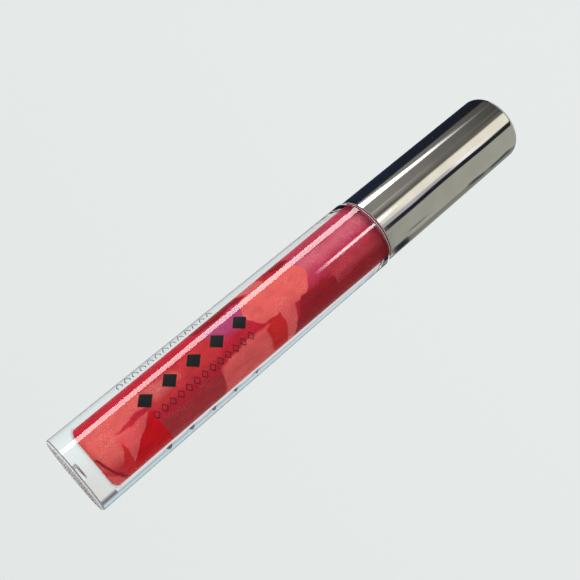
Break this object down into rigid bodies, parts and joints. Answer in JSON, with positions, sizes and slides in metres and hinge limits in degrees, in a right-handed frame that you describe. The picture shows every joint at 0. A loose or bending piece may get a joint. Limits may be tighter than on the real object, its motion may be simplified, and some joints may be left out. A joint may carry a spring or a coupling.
{
  "type": "lip gloss tube",
  "caption": "Slim round lip gloss tube: thick clear bottle of swirled red gloss, threaded neck with a wiper, and a tall polished metal screw cap that carries a doe-foot wand.",
  "frame": {"origin": "centre of the bottle's base, on the plane that it stands on", "axes": "+Z along the tube's axis, from the bottle's base to the cap; +Y is opposite the printed front, which faces -Y"},
  "size_m": [0.016, 0.016, 0.1186],
  "materials": {
    "clear_bottle": "clear, polished",
    "gloss": "pearly swirled liquid",
    "wiper_plastic": "natural translucent",
    "washer_foam": "foamed",
    "polished_metal": "mirror polished, warm dark nickel",
    "liner_plastic": "moulded",
    "stem_plastic": "moulded",
    "tip_plastic": "moulded",
    "flock": "flocked pile",
    "print_ink": "screen printed"
  },
  "bodies": {
    "bottle_body": {"bottle": "clear_bottle", "gloss_fill": "gloss", "wiper": "wiper_plastic"},
    "washer_body": {"seal_washer": "washer_foam"},
    "cap_body": {"cap_shell": "polished_metal", "cap_liner": "liner_plastic", "wand_stem": "stem_plastic", "applicator_core": "tip_plastic", "flock_sleeve": "flock"}
  },
  "joints": [
    {"name": "wand_lift", "type": "slide", "parent": "bottle_body", "child": "washer_body", "axis": [0, 0, 1], "range_m": [0, 0.09]},
    {"name": "cap_turn", "type": "hinge", "parent": "washer_body", "child": "cap_body", "pos_m": [0, 0, 0.0902], "axis": [0, 0, 1], "range_deg": [0, 540]}
  ]
}
